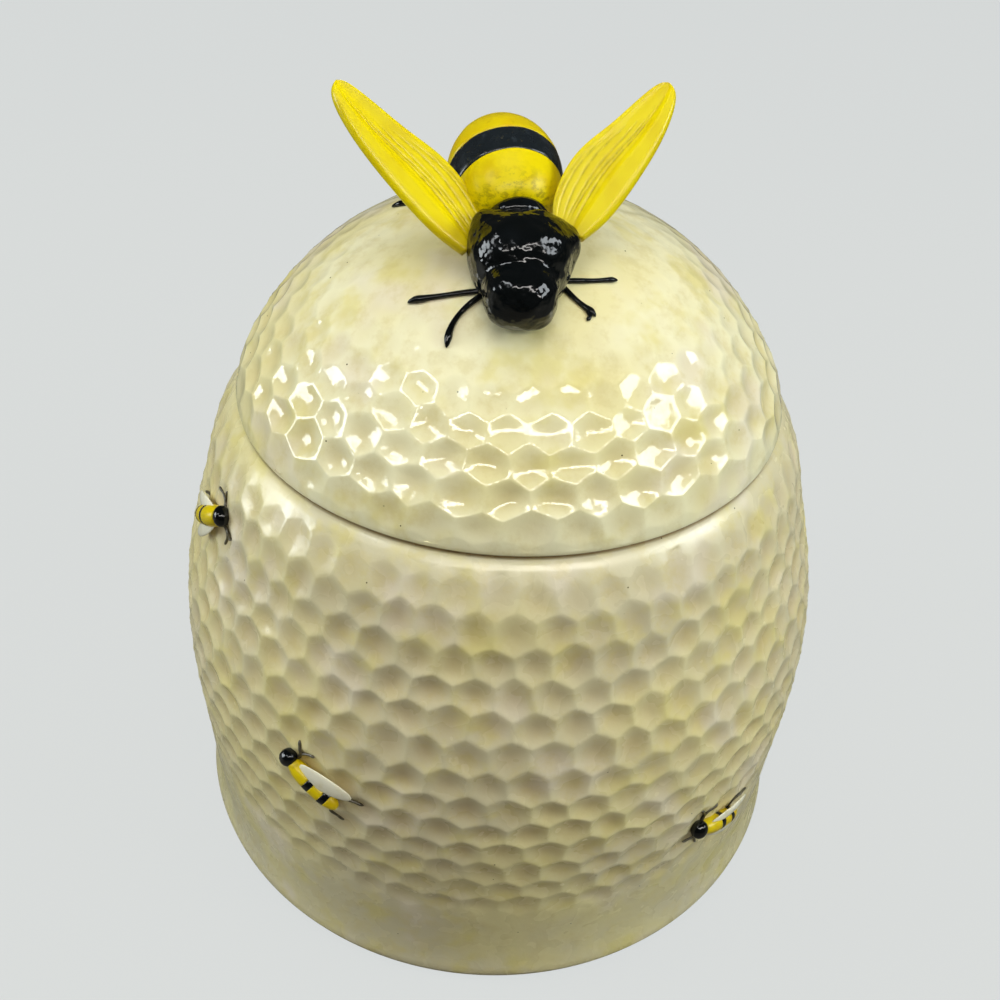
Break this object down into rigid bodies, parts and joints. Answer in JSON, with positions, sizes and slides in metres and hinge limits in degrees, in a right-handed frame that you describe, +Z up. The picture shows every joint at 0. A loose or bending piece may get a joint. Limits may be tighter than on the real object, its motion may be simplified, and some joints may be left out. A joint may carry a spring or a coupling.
{
  "type": "cookie jar",
  "caption": "Beehive-shaped glazed ceramic cookie jar with a honeycomb surface, a lift-off domed lid and a large modelled bee as its knob.",
  "frame": {"origin": "centre of the foot, on the surface the jar stands on", "axes": "+Z up through the lid, -Y towards the front, the way the knob bee faces; +X to the right seen from the front"},
  "size_m": [0.2028, 0.2028, 0.2457],
  "materials": {
    "hive_glaze": "gloss",
    "yellow_glaze": "gloss",
    "speckled_yellow_glaze": "gloss",
    "wing_yellow_glaze": "gloss",
    "black_glaze": "gloss",
    "white_glaze": "gloss",
    "brown_line_glaze": "gloss"
  },
  "bodies": {
    "jar": {"jar_body": "hive_glaze", "left_bee_head": "black_glaze", "left_bee_yellow_bands": "yellow_glaze", "left_bee_black_bands": "black_glaze", "left_bee_wings": "white_glaze", "left_bee_legs": "brown_line_glaze", "front_bee_head": "black_glaze", "front_bee_yellow_bands": "yellow_glaze", "front_bee_black_bands": "black_glaze", "front_bee_wings": "white_glaze", "front_bee_legs": "brown_line_glaze", "right_bee_head": "black_glaze", "right_bee_yellow_bands": "yellow_glaze", "right_bee_black_bands": "black_glaze", "right_bee_wings": "white_glaze", "right_bee_legs": "brown_line_glaze", "back_right_bee_head": "black_glaze", "back_right_bee_yellow_bands": "yellow_glaze", "back_right_bee_black_bands": "black_glaze", "back_right_bee_wings": "white_glaze", "back_right_bee_legs": "brown_line_glaze", "back_left_bee_head": "black_glaze", "back_left_bee_yellow_bands": "yellow_glaze", "back_left_bee_black_bands": "black_glaze", "back_left_bee_wings": "white_glaze", "back_left_bee_legs": "brown_line_glaze"},
    "lid": {"lid_shell": "hive_glaze", "knob_bee_chest": "black_glaze", "knob_bee_head": "black_glaze", "knob_bee_collar": "black_glaze", "knob_bee_speckled_band": "speckled_yellow_glaze", "knob_bee_black_band": "black_glaze", "knob_bee_rear_band": "yellow_glaze", "knob_bee_tail": "black_glaze", "knob_bee_left_wing": "wing_yellow_glaze", "knob_bee_right_wing": "wing_yellow_glaze", "knob_bee_left_front_leg": "black_glaze", "knob_bee_left_middle_leg": "black_glaze", "knob_bee_left_hind_leg": "black_glaze", "knob_bee_right_front_leg": "black_glaze", "knob_bee_right_middle_leg": "black_glaze", "knob_bee_right_hind_leg": "black_glaze"}
  },
  "joints": [
    {"name": "lid_lift", "type": "slide", "parent": "jar", "child": "lid", "axis": [0, 0, 1], "range_m": [0, 0.16]}
  ]
}
